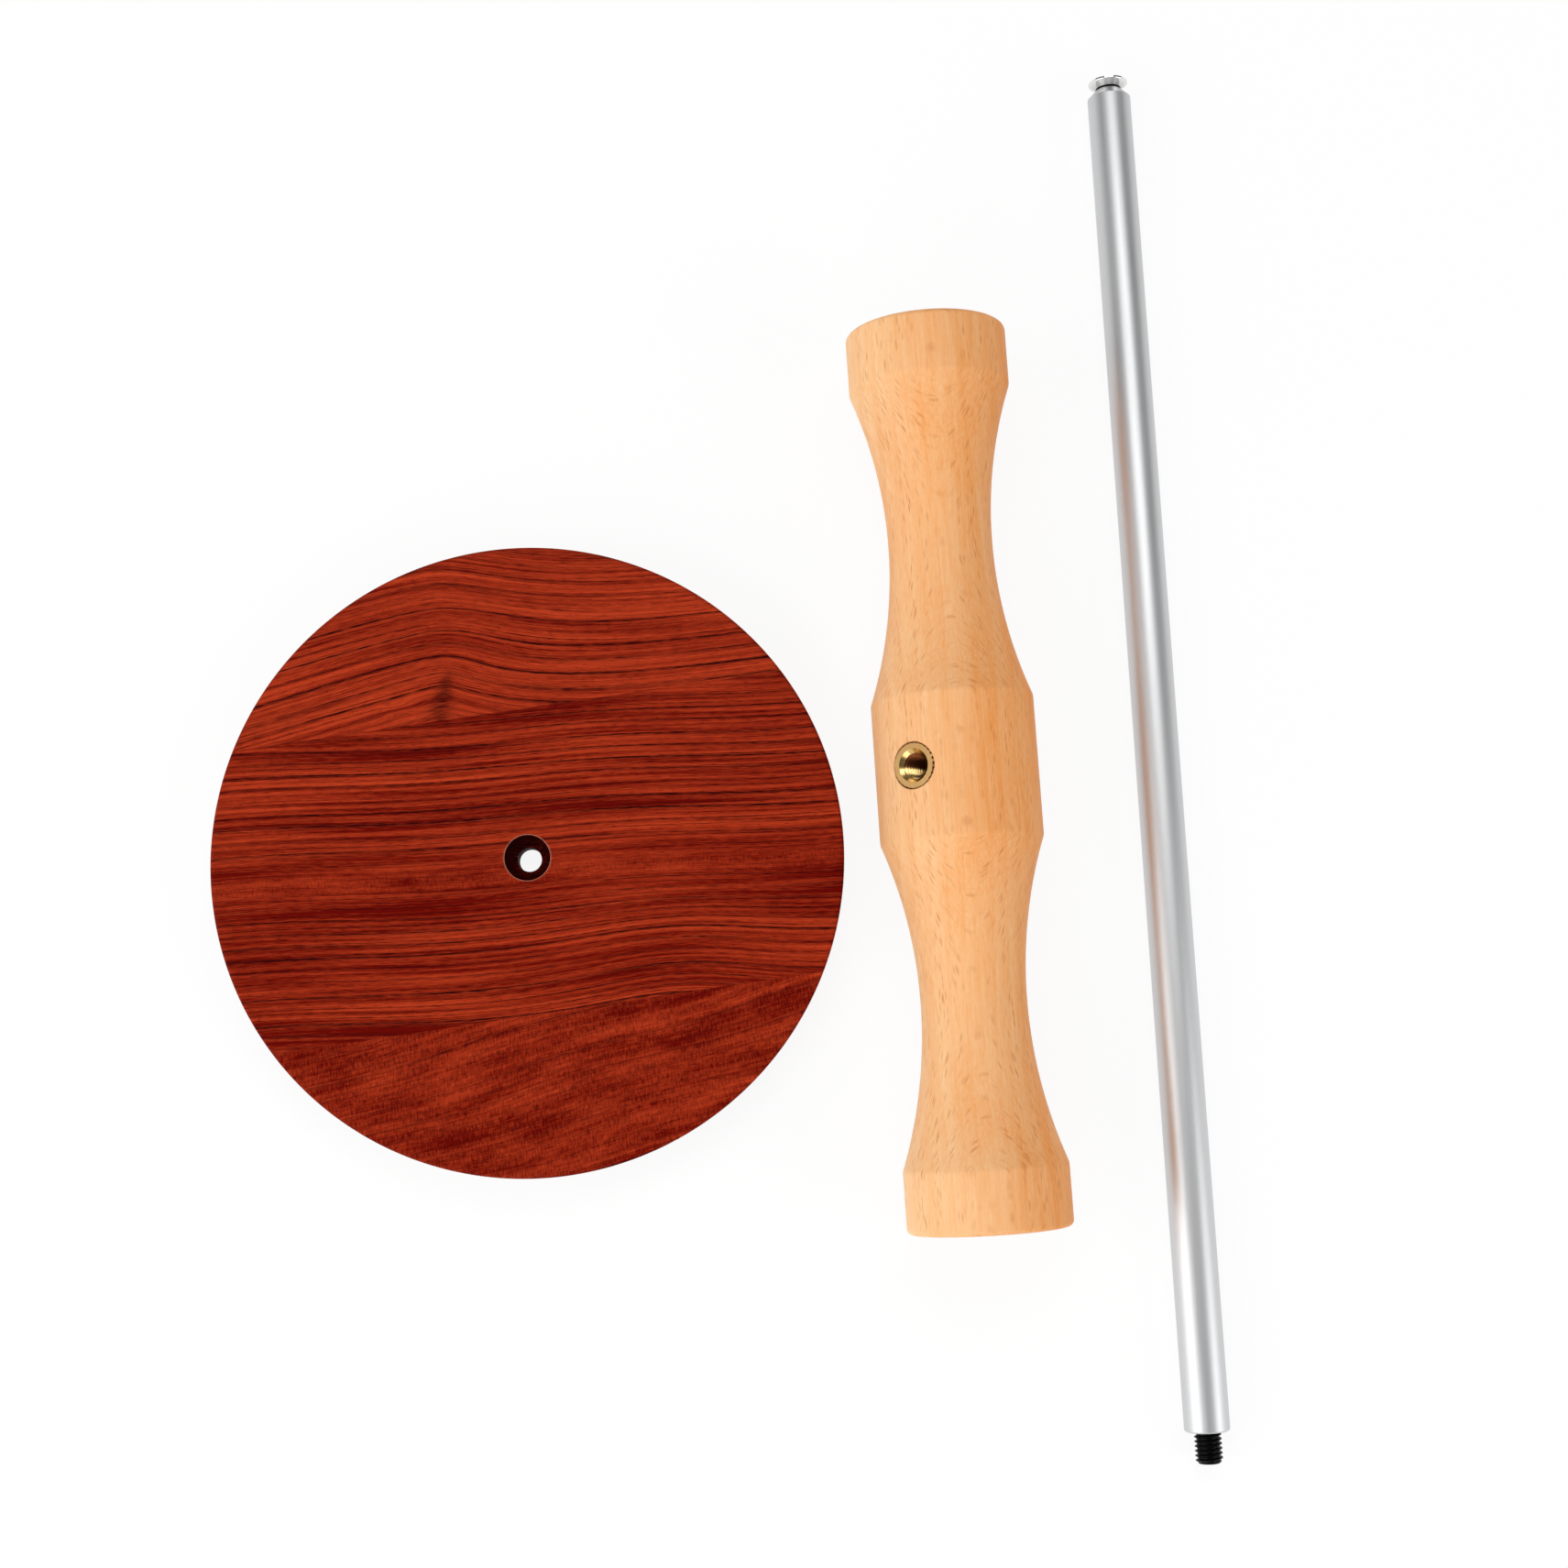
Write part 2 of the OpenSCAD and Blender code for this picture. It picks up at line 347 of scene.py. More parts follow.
# Sockets that are given by place: a Math node's terms are inputs 0 to 2. A MapRange node takes its value at
# 0, the range that it comes from at 1 and 2, and the range that it goes to at 3 and 4. A Mix node takes its
# share at 0 and its two colours at 6 and 7, and gives the mixed colour at output 2.


def add(tree, kind, values=None, **settings):
    """Adds a node with settings. Values go to inputs by name or place, and nodes and sockets are linked."""
    node = tree.nodes.new("ShaderNode" + kind)
    for key, value in settings.items():
        setattr(node, key, value)
    for key, value in (values or {}).items():
        if isinstance(value, bpy.types.Node):
            value = next(socket for socket in value.outputs if socket.enabled)
        if isinstance(value, bpy.types.NodeSocket):
            tree.links.new(value, node.inputs[key])
        else:
            node.inputs[key].default_value = value
    return node


def new_material(name, **sockets):
    """Material with a Principled shader whose sockets are set by name, with underscores for spaces."""
    material = bpy.data.materials.new(name)
    material.use_nodes = True
    shader = material.node_tree.nodes["Principled BSDF"]
    for socket, value in sockets.items():
        shader.inputs[socket.replace("_", " ")].default_value = value
    return material, material.node_tree, shader


def feed(tree, shader, **sources):
    """Links sockets to the shader's inputs of those names, with underscores for spaces."""
    for socket, source in sources.items():
        tree.links.new(source, shader.inputs[socket.replace("_", " ")])


def rgba(rgb):
    """Colour with full alpha."""
    return (*rgb, 1.0)


def pattern(tree, place, size, kind="TexNoise", **values):
    """Texture whose marks have the size given along each axis, in the unit of the place."""
    marks = add(tree, "VectorMath", {0: place, 1: tuple(1 / part for part in size)}, operation="MULTIPLY")
    return add(tree, kind, {"Vector": marks, "Scale": 1, **values})


# Patterns of the rosewood's ground: size in millimetres along, across and down, detail, and strength on
# plain and on quartered wood. In order they are ticks of ray, drawn about twice as wide as real ones so
# that they show, patches, bands, streaks and fibres.
ROSEWOOD_GROUND = (
    ((0.34, 1.7, 3), 1, 0.0, 1.2),
    ((14, 3.2, 4), 2, 0.0, 1.4),
    ((90, 4.5, 8), 2, 1.6, 1.2),
    ((50, 0.9, 4), 3, 2.1, 0.7),
    ((3.2, 0.2, 2), 2, 1.2, 1.0),
)
# Sets of growth lines: spacing and size of their wandering, in millimetres, and darkness
ROSEWOOD_LINES = (
    (2.9, (260, 9, 9), 1.8),
    (1.2, (200, 4, 6), 1.4),
    (0.52, (120, 2, 4), 0.7),
)
# How far the lines wander, in spacings, and how long they keep their darkness, in millimetres
LINE_WANDER = 1.6
LINE_LENGTH = 22


def oiled_rosewood(base):
    """Rosewood, planed, sanded and oiled: orange to deep red bands, thin dark growth lines of uneven
    strength, open pores as short dashes and, where a board is cut on the quarter, ticks of ray across the
    grain. The grain attribute holds millimetres along, across and down, and the figure attribute holds
    warmth, rays and a stain, which also paints shade in the socket and, below nothing, a pale highlight."""
    material, tree, shader = new_material("oiled_rosewood", Specular_IOR_Level=0.02)
    grain = add(tree, "Attribute", attribute_name="grain").outputs["Vector"]
    figure = add(tree, "Attribute", attribute_name="figure").outputs["Vector"]
    warmth, rays, stain_and_painted_light = add(tree, "SeparateXYZ", {0: figure}).outputs
    along, across, _ = add(tree, "SeparateXYZ", {0: grain}).outputs

    # Shading of the ground from deep red to orange
    ground = warmth
    for size, detail, plain, quartered in ROSEWOOD_GROUND:
        fibre = pattern(tree, grain, size, Detail=detail)
        centred = add(tree, "Math", {0: fibre, 1: 0.5}, operation="SUBTRACT")
        strength = add(tree, "MapRange", {0: rays, 3: plain, 4: quartered})
        ground = add(tree, "Math", {0: centred, 1: strength, 2: ground}, operation="MULTIPLY_ADD")
    tint = add(tree, "Mix", {0: ground, 6: rgba(base.red), 7: rgba(base.orange)}, data_type="RGBA")

    # Growth lines darken slowly towards their outer side and end at once, and the fibres break them up
    broken = add(tree, "MapRange", {0: fibre, 1: 0.62, 2: 0.4, 3: 0.5, 4: 1.0})
    quarter = add(tree, "MapRange", {0: rays, 3: 1.0, 4: 0.45})
    # The stain darkens towards the dark colour, and in the socket's bore it is painted shade
    marks = add(tree, "Math", {0: stain_and_painted_light, 1: broken}, operation="MULTIPLY")
    for spacing, wander_size, darkness in ROSEWOOD_LINES:
        wander = pattern(tree, grain, wander_size, Detail=1)
        count = add(tree, "Math", {0: across, 1: 1 / spacing}, operation="MULTIPLY")
        count = add(tree, "Math", {0: wander, 1: LINE_WANDER, 2: count}, operation="MULTIPLY_ADD")
        ring = add(tree, "Math", {0: count}, operation="FLOOR")
        part = add(tree, "Math", {0: count}, operation="FRACT")
        rise = add(tree, "MapRange", {0: part, 1: 0.5, 2: 0.95}, interpolation_type="SMOOTHSTEP")
        rise = add(tree, "Math", {0: rise, 1: 3}, operation="POWER")
        fall = add(tree, "MapRange", {0: part, 1: 1.0, 2: 0.94}, interpolation_type="SMOOTHSTEP")
        chance = add(tree, "TexWhiteNoise", {"W": ring}, noise_dimensions="1D").outputs["Value"]
        chance = add(tree, "MapRange", {0: chance, 3: 0.25, 4: 1.0})
        stretch = add(tree, "Math", {0: along, 1: 1 / LINE_LENGTH}, operation="MULTIPLY")
        spot = add(tree, "CombineXYZ", {0: stretch, 1: ring})
        fade = add(tree, "TexNoise", {"Vector": spot, "Scale": 1, "Detail": 2})
        fade = add(tree, "MapRange", {0: fade, 1: 0.35, 2: 0.6, 3: 0.5, 4: 1.0})
        line = broken
        for factor in (rise, fall, chance, fade, darkness, quarter):
            line = add(tree, "Math", {0: line, 1: factor}, operation="MULTIPLY")
        marks = add(tree, "Math", {0: line, 1: marks}, operation="MAXIMUM")

    # Open pores along the grain and dark ticks of ray across it, in patches
    pores = pattern(tree, grain, (1.6, 0.24, 1), Detail=1)
    pores = add(tree, "MapRange", {0: pores, 1: 0.6, 2: 0.74, 4: 0.6})
    marks = add(tree, "Math", {0: marks, 1: pores}, operation="MAXIMUM")
    ticks = pattern(tree, grain, (0.34, 1.6, 3), Detail=1)
    ticks = add(tree, "MapRange", {0: ticks, 1: 0.48, 2: 0.72, 4: 0.75})
    patch = pattern(tree, grain, (9, 2.2, 3), Detail=2)
    patch = add(tree, "MapRange", {0: patch, 1: 0.42, 2: 0.6})
    for factor in (patch, rays):
        ticks = add(tree, "Math", {0: ticks, 1: factor}, operation="MULTIPLY")
    marks = add(tree, "Math", {0: marks, 1: ticks}, operation="MAXIMUM", use_clamp=True)
    tint = add(tree, "Mix", {0: marks, 6: tint.outputs[2], 7: rgba(base.dark)}, data_type="RGBA")

    # A stain below nothing is a painted highlight
    highlight_share = add(tree, "Math", {0: stain_and_painted_light, 1: -1.0}, operation="MULTIPLY", use_clamp=True)
    tint = add(tree, "Mix", {0: highlight_share, 6: tint.outputs[2], 7: rgba(base.rim_highlight)}, data_type="RGBA")
    rough = add(tree, "MapRange", {0: marks, 3: 0.42, 4: 0.6})
    bump = add(tree, "Bump", {"Height": marks, "Strength": 0.4, "Distance": 0.04 * MM}, invert=True)
    feed(tree, shader, Base_Color=tint.outputs[2], Roughness=rough.outputs[0], Normal=bump.outputs[0])
    return material


# Thickness of the beech's growth layers in millimetres, and how far they wander, in layers
BEECH_LAYER = 3.4
LAYER_WANDER = 3
# The beech's streaks, fibres and pores: size in millimetres across, along and upwards, detail and strength
BEECH_GROUND = (
    ((7, 70, 7), 2, 1.0),
    ((0.45, 10, 0.45), 2, 0.8),
    ((0.22, 1.2, 0.22), 1, 0.5),
)
# Size of the cell that holds one ray sheet, in millimetres
BEECH_RAY = (3.6, 3.4, 0.28)


def turned_beech(bar):
    """Beech, turned and sanded: a pale ground with fine pores. Its growth layers stand upright along the
    bar and shade it in soft bands. Its rays are thin sheets that lie level, so they cut the sides as short
    dashes, the coves as level contours and the crown as faint patches."""
    material, tree, shader = new_material("turned_beech", Specular_IOR_Level=0.15)
    # X is across the bar, Y along it and Z upwards, in millimetres from its middle
    surface = add(tree, "TexCoord")
    spot = add(tree, "VectorMath", {0: surface.outputs["Object"], 1: BAR_CENTRE}, operation="SUBTRACT")
    wood = add(tree, "Mapping", {"Vector": spot, "Rotation": (0, 0, -BAR_TURN), "Scale": (1 / MM,) * 3})
    across, along, _ = add(tree, "SeparateXYZ", {0: wood}).outputs

    # Growth layers darken towards one side
    wander = pattern(tree, wood, (40, 130, 40), Detail=1)
    layer = add(tree, "Math", {0: across, 1: 1 / BEECH_LAYER}, operation="MULTIPLY")
    layer = add(tree, "Math", {0: wander, 1: LAYER_WANDER, 2: layer}, operation="MULTIPLY_ADD")
    layer = add(tree, "Math", {0: layer}, operation="FRACT")
    late = add(tree, "MapRange", {0: layer, 1: 0.1, 2: 0.9, 4: 0.12}, interpolation_type="SMOOTHSTEP")
    end = add(tree, "MapRange", {0: layer, 1: 1.0, 2: 0.92}, interpolation_type="SMOOTHSTEP")
    ground = add(tree, "Math", {0: late, 1: end}, operation="MULTIPLY")
    # Painted light: the ground is paler on the bar's lit left side and darker on its shaded right. It is also
    # paler towards the bar's front end.
    side = add(tree, "MapRange", {0: across, 1: -18, 2: 18, 3: -0.42, 4: 0.45})
    front = add(tree, "MapRange", {0: along, 1: -50, 2: 10, 3: -0.1, 4: 0}, interpolation_type="SMOOTHSTEP")
    for shift in (side, front):
        ground = add(tree, "Math", {0: ground, 1: shift}, operation="ADD")
    for size, detail, strength in BEECH_GROUND:
        noise = pattern(tree, wood, size, Detail=detail)
        centred = add(tree, "Math", {0: noise, 1: 0.5}, operation="SUBTRACT")
        ground = add(tree, "Math", {0: centred, 1: strength, 2: ground}, operation="MULTIPLY_ADD")
    ground = add(tree, "MapRange", {0: ground, 1: -0.63, 2: 0.6})
    tint = add(tree, "Mix", {0: ground, 6: rgba(bar.pale), 7: rgba(bar.tan)}, data_type="RGBA")

    # Ray sheets fill their cells near the middle
    cells = pattern(tree, wood, BEECH_RAY, "TexVoronoi")
    sheet = add(tree, "MapRange", {0: cells.outputs["Distance"], 1: 0.46, 2: 0.16})
    chance = add(tree, "SeparateXYZ", {0: cells.outputs["Color"]})
    shade = add(tree, "MapRange", {0: chance, 1: 0.4, 2: 1.0, 4: 0.8})
    # A sheet that is cut flat is thin, and hardly shows
    level = add(tree, "SeparateXYZ", {0: surface.outputs["Normal"]}).outputs["Z"]
    thin = add(tree, "MapRange", {0: level, 1: 0.85, 2: 0.99, 3: 1.0, 4: 0.42})
    fleck = sheet
    for factor in (shade, thin):
        fleck = add(tree, "Math", {0: fleck, 1: factor}, operation="MULTIPLY")
    tint = add(tree, "Mix", {0: fleck, 6: tint.outputs[2], 7: rgba(bar.fleck)}, data_type="RGBA")
    rough = add(tree, "MapRange", {0: fleck, 3: 0.5, 4: 0.62})
    bump = add(tree, "Bump", {"Height": fleck, "Strength": 0.3, "Distance": 0.03 * MM}, invert=True)
    feed(tree, shader, Base_Color=tint.outputs[2], Roughness=rough.outputs[0], Normal=bump.outputs[0])
    return material


def satin_aluminium(rod):
    """Drawn aluminium, blasted and anodised clear: a soft grey metal, finely grained and no mirror."""
    material, tree, shader = new_material("satin_aluminium", Metallic=1, Base_Color=rgba(rod.metal))
    spot = add(tree, "TexCoord").outputs["Object"]
    metal = add(tree, "Mapping", {"Vector": spot, "Rotation": (0, 0, -ROD_TURN), "Scale": (1 / MM,) * 3})
    # The grit is drawn at a quarter of a millimetre, coarser than the real one, so that it shows
    grit = pattern(tree, metal, (0.25, 0.4, 0.25), Detail=2)
    drawn = pattern(tree, metal, (0.5, 40, 0.5), Detail=2)
    both = add(tree, "Math", {0: grit, 1: drawn}, operation="ADD")
    rough = add(tree, "MapRange", {0: both, 1: 0.6, 2: 1.4, 3: 0.44, 4: 0.52})
    bump = add(tree, "Bump", {"Height": grit, "Strength": 0.12, "Distance": 0.02 * MM})
    feed(tree, shader, Roughness=rough.outputs[0], Normal=bump.outputs[0])
    return material


def metal_under_oil_and_shade(tree, settings):
    """Share of oil and painted shade on a piece, from its attribute, and the colour of its metal under that
    much.
    """
    oil_and_painted_shade = add(tree, "Attribute", attribute_name="oil_and_painted_shade").outputs["Fac"]
    tint = add(tree, "Mix", {0: oil_and_painted_shade, 6: rgba(settings.metal), 7: rgba(settings.oil_and_painted_shade)}, data_type="RGBA")
    return oil_and_painted_shade, tint.outputs[2]


def machined_brass(insert):
    """Free-cutting brass, turned and knurled: bright yellow metal with a dull film on its face, a bare,
    smoother mouth, and painted shade on one side of its bore."""
    material, tree, shader = new_material("machined_brass", Metallic=1)
    spot = add(tree, "TexCoord").outputs["Object"]
    marks = pattern(tree, spot, (1.2 * MM,) * 3, Detail=1)
    oil_and_painted_shade, tint = metal_under_oil_and_shade(tree, insert)
    dull = add(tree, "MapRange", {0: oil_and_painted_shade, 2: insert.film, 3: -0.1, 4: 0.06})
    gloss = add(tree, "MapRange", {0: marks, 1: 0.3, 2: 0.7, 3: 0.31, 4: 0.37})
    rough = add(tree, "Math", {0: gloss, 1: dull}, operation="ADD")
    feed(tree, shader, Base_Color=tint, Roughness=rough.outputs[0])
    return material


def bright_nickel(screw):
    """Nickel plate on steel: a bright, slightly warm mirror with a little waviness from the cold-formed
    head. Painted shade darkens the corner under the head and thins out down the thread."""
    material, tree, shader = new_material("bright_nickel", Metallic=1)
    spot = add(tree, "TexCoord").outputs["Object"]
    waves = pattern(tree, spot, (0.6 * MM,) * 3, Detail=2)
    rough = add(tree, "MapRange", {0: waves, 1: 0.3, 2: 0.7, 3: 0.1, 4: 0.2})
    bump = add(tree, "Bump", {"Height": waves, "Strength": 0.15, "Distance": 0.02 * MM})
    tint = metal_under_oil_and_shade(tree, screw)[1]
    feed(tree, shader, Base_Color=tint, Roughness=rough.outputs[0], Normal=bump.outputs[0])
    return material


def black_oxide(stud):
    """Black oxide on rolled steel thread: near black, with a dull oily gloss on the crests."""
    look = {"Base_Color": rgba(stud.oxide), "Specular_IOR_Level": 0.1}
    material, tree, shader = new_material("black_oxide_steel", **look)
    spot = add(tree, "TexCoord").outputs["Object"]
    marks = pattern(tree, spot, (0.3 * MM,) * 3, Detail=2)
    rough = add(tree, "MapRange", {0: marks, 1: 0.3, 2: 0.7, 3: 0.25, 4: 0.45})
    feed(tree, shader, Roughness=rough.outputs[0])
    return material


# Base

# Mesh steps of the boards: rows round each eased edge, columns round an outer board, rows over its top and
# bottom, columns along each arc and each glue line of the middle board, and rows over its top and bottom
EASE_ROWS = 7
OUTER_COLUMNS, OUTER_TOP, OUTER_BOTTOM = 161, 110, 24
ARC_COLUMNS, LINE_COLUMNS, MIDDLE_TOP, MIDDLE_BOTTOM = 64, 110, 64, 40
# Share of a face that its first and last rows take up
EDGE_ROW = 0.006


def rim_outline(base):
    """Half outline of the rim from the lower face to the upper, with a quarter circle at each corner."""
    radius = max(BASE_HIGH[0], -BASE_LOW[0])
    quarter = np.linspace(0, math.pi / 2, EASE_ROWS)
    out = radius - base.ease + base.ease * np.concatenate([np.sin(quarter), np.cos(quarter)])
    low = base.ease * (1 - np.cos(quarter))
    high = BASE_HIGH[2] - base.ease * (1 - np.sin(quarter))
    return out[:, None], np.concatenate([low, high])[:, None]


def face_steps(count):
    """Shares from 0 to 1 across a flat face, with a first and a last step close to its edges, which keep
    the face's shading flat and its glue line thin."""
    return np.concatenate([[0.0], np.linspace(EDGE_ROW, 1 - EDGE_ROW, count), [1.0]])[:, None, None]


def outer_board(base, glue):
    """Segment of the disc beyond a glue line at y = glue. Column a runs round the rim from one end of the
    line to the other, and rows go up the rim, over the top to the line, down the glued face and out along
    the bottom."""
    out, z = rim_outline(base)
    first = np.arcsin(glue / out)
    angles = first + (math.pi - 2 * first) * np.linspace(0, 1, OUTER_COLUMNS)
    rim = stacked(out * np.cos(angles), out * np.sin(angles), z)
    glued = stacked(rim[..., 0], glue, rim[..., 2])
    top = rim[-1] + (glued[-1] - rim[-1]) * face_steps(OUTER_TOP)
    bottom = rim[0] + (glued[0] - rim[0]) * face_steps(OUTER_BOTTOM)
    points = np.concatenate([rim, top[1:], glued[-2::-1], bottom[-2:0:-1]])
    return points, grid_faces(*points.shape[:2], ring=False, loop=True)


def middle_outline(base, out):
    """Middle board's outline at each rim radius: right arc, rear glue line, left arc, front glue line."""
    rear = np.arcsin(base.rear_glue / out)
    front = np.arcsin(base.front_glue / out)
    arc = np.linspace(0, 1, ARC_COLUMNS, endpoint=False)
    line = np.linspace(1, -1, LINE_COLUMNS, endpoint=False)
    right = (rear + front) * arc - front
    left = math.pi - rear + (rear + front) * arc
    x = [out * np.cos(right), out * np.cos(rear) * line, out * np.cos(left), -out * np.cos(front) * line]
    y = [out * np.sin(right), base.rear_glue + 0 * x[1], out * np.sin(left), -base.front_glue + 0 * x[3]]
    return np.concatenate(x, 1), np.concatenate(y, 1)


def middle_board(base):
    """Middle board with its stepped bore, as one closed ring: up the outer side, in over the top along rays
    to the socket, down the bore (eased mouth, wall, cone, screw hole, seat of the head) and out along the
    bottom."""
    out, z = rim_outline(base)
    x, y = middle_outline(base, out)
    side = stacked(x, y, z)
    ray = np.hypot(x[-1], y[-1])
    cos, sin = x[-1] / ray, y[-1] / ray
    top_z = BASE_HIGH[2]
    socket_r = mount_radius("rod_socket")
    hole_r = mount_radius("base_screw_hole")
    hole_z = mount_axis("base_screw_hole")[0][2]
    foot_z = top_z - base.socket_depth
    # The eased mouth has a corner three tenths of the way down and out
    soft = base.arris * 0.3
    radius, height = rows_of(
        (socket_r + base.arris, top_z), (socket_r + soft, top_z - soft), (socket_r, top_z - base.arris),
        (socket_r, foot_z + base.cone_h), (socket_r - base.cone_h, foot_z),
        (hole_r, foot_z), (hole_r, hole_z), (base.seat_r, base.seat_rim_h), (base.seat_r, 0))
    bore = stacked(radius * cos, radius * sin, height)
    top = side[-1] + (bore[0] - side[-1]) * face_steps(MIDDLE_TOP)
    bottom = side[0] + (bore[-1] - side[0]) * face_steps(MIDDLE_BOTTOM)
    points = np.concatenate([side, top[1:-1], bore, bottom[-2:0:-1]])
    return points, grid_faces(*points.shape[:2], loop=True)


def board_place(points, base):
    """Millimetres along the boards' grain, across it and upwards."""
    cos, sin = math.cos(base.board_turn), math.sin(base.board_turn)
    x, y, z = points.T / MM
    return x * cos + y * sin, y * cos - x * sin, z


def bell(x, middle, width, power=2):
    """Bell curve exp(-((x - middle) / width)^power)."""
    return np.exp(-((x - middle) / width) ** power)


def soft_step(x):
    """Soft step from 0 to 1: 1 / (1 + exp(-x))."""
    return 1 / (1 + np.exp(-x))


# Place of the crest along the rear board's grain, and of the knot's eye along and across, in millimetres
CREST = -14
EYE = (-23.7, 37.3)


def rear_figure(along, across, up):
    """Grain that climbs from the left to a crest beside a knot and falls away to the right, levelling off:
    a slope of 0.14 before the crest, and a drop of 11 mm that is two thirds done 20 mm past it. The crest
    is rounder further from the knot. The knot is a dark streak that leans under the crest, with a small eye
    to its left, and dark lines run out of it on both sides."""
    past = along - CREST
    soft = np.clip(4 + 0.7 * (across - 44), 3, 12)
    rounded = np.sqrt(past ** 2 + soft ** 2) - soft
    arch = np.where(past < 0, -0.14 * rounded, -11 * (1 - np.exp(-rounded / 20)))
    eye = np.hypot((along - EYE[0]) / 3.2, (across - EYE[1]) / 1.7)
    level = across - arch + 1.6 * np.exp(-eye ** 2) * np.tanh(across - EYE[1])
    streak = (along + 13.3 - 0.36 * (across - 40)) / (2.6 - 0.16 * (across - 38))
    knot = 0.95 * bell(streak, 0, 1) * bell(across, 38.5, 6.5, 4)
    right = 0.7 * bell(level, 44.5, 0.5) * soft_step(past - 1)
    left = 0.6 * bell(level, 43.4, 0.7) * soft_step((-33 - along) / 3)
    stain_and_painted_light = np.maximum(knot, np.maximum(right, left))
    return level - 0.3 * up, 0.63 + 0 * along, 0 * along, stain_and_painted_light


# Radii that hold the socket's mouth and its painted highlight, in millimetres
MOUTH_R, HIGHLIGHT_R = 5.3, 5.25


def middle_figure(along, across, up):
    """Straight grain that sinks gently to the right, humps beside the front glue line, and shows ticks of
    ray in a band through the hole. The bore is darkened by painted shade, most of all on the socket's wall
    and least on its cone, and its mouth's edge has a pale painted highlight."""
    hump = 2.8 * bell(along, 31, 22) * soft_step((-16 - across) / 4)
    level = -0.085 * along + hump + 0.5 * np.sin(along / 13)
    band = bell(across - level, -3.5, 2.2, 4)
    out = np.hypot(along, across)
    below = BASE_HIGH[2] / MM - up
    # Painted shade darkens the bore. Less than 4 mm down is the socket's wall, darkest. Past it are the cone,
    # least dark, and, within 2.8 mm, the screw's hole.
    wall = np.where(below < 4, 1.9, np.where(out > 2.8, 1.05, 1.2))
    # Painted highlight: a stain below nothing makes the mouth's eased edge pale, and the top's innermost row
    # faintly so
    rim_highlight = np.where(below < 0.01, -0.15 * (out < HIGHLIGHT_R), -0.8)
    stain_and_painted_light = np.where((out < MOUTH_R) & (up > 0.01), np.where(below < 0.1, rim_highlight, wall), 0)
    return across - level - 0.22 * up, 0.37 + 0 * along, 0.75 * band, stain_and_painted_light


def front_figure(along, across, up):
    """Quarter-sawn ribbon grain that climbs to the right in slow waves, with ticks of ray all over."""
    level = 0.13 * along + 0.5 * np.sin(along / 11 + across / 9)
    return across - level - 0.1 * up, 0.32 + 0 * along, 0.9 + 0 * along, 0 * along


def glue_line(across, base):
    """Dark glue line, 0.3 mm wide, between the middle board and the rear and, fainter, the front one."""
    half_w = 0.15
    lines = ((base.rear_glue / MM, 0.6), (-base.front_glue / MM, 0.3))
    return sum(dark * np.clip(1 - np.abs(across - place) / half_w, 0, 1) for place, dark in lines)


def turned_about_z(points, angle):
    """Points turned about the Z axis."""
    cos, sin = math.cos(angle), math.sin(angle)
    return points @ np.array([[cos, sin, 0], [-sin, cos, 0], [0, 0, 1]])


class TSTAND_OT_base(bpy.types.Operator):
    """Build the round base from its three glued boards"""

    bl_idname = "tstand.base"
    bl_label = "Base"

    def execute(self, context):
        base = context.scene.tstand_base
        wood = oiled_rosewood(base)
        rear, front = (outer_board(base, glue) for glue in (base.rear_glue, base.front_glue))
        # Each board has its own surface, half turn, figure and place in the log, in millimetres
        boards = (
            ("rear_board", "base_stave_rear", rear, 0, rear_figure, 0),
            ("middle_board", "base_stave_middle", middle_board(base), 0, middle_figure, 400),
            ("front_board", "base_stave_front", front, math.pi, front_figure, 800),
        )
        for name, node, (points, faces), half_turn, figure, log in boards:
            points = turned_about_z(points, base.board_turn + half_turn)
            piece = add_piece(name, node, [(points, faces)], wood)
            along, across, up = board_place(mesh_points(piece), base)
            grain, warmth, rays, stain_and_painted_light = figure(along, across, up)
            set_attribute(piece, "grain", along + log, grain, up)
            set_attribute(piece, "figure", warmth, rays, stain_and_painted_light + glue_line(across, base))
        return {"FINISHED"}


# Crossbar and its insert

# Mesh steps along the bar: rows on half the window, in each softened arris, in each cove, round each end's
# rim and over each end face
WINDOW_ROWS, ARRIS_ROWS, COVE_ROWS, RIM_ROWS, END_ROWS = 13, 4, 73, 9, 10
# Mesh columns round the bar, half the columns and half the length of the window round the insert's seat,
# rows from the window's edge to the seat and down the seat, and width of the seat's eased edge
BAR_COLUMNS = 192
WINDOW_COLUMNS = 14
WINDOW = 9 * MM
COLLAR_ROWS, SEAT_ROWS = 9, 5
SEAT_EASE = 0.15 * MM


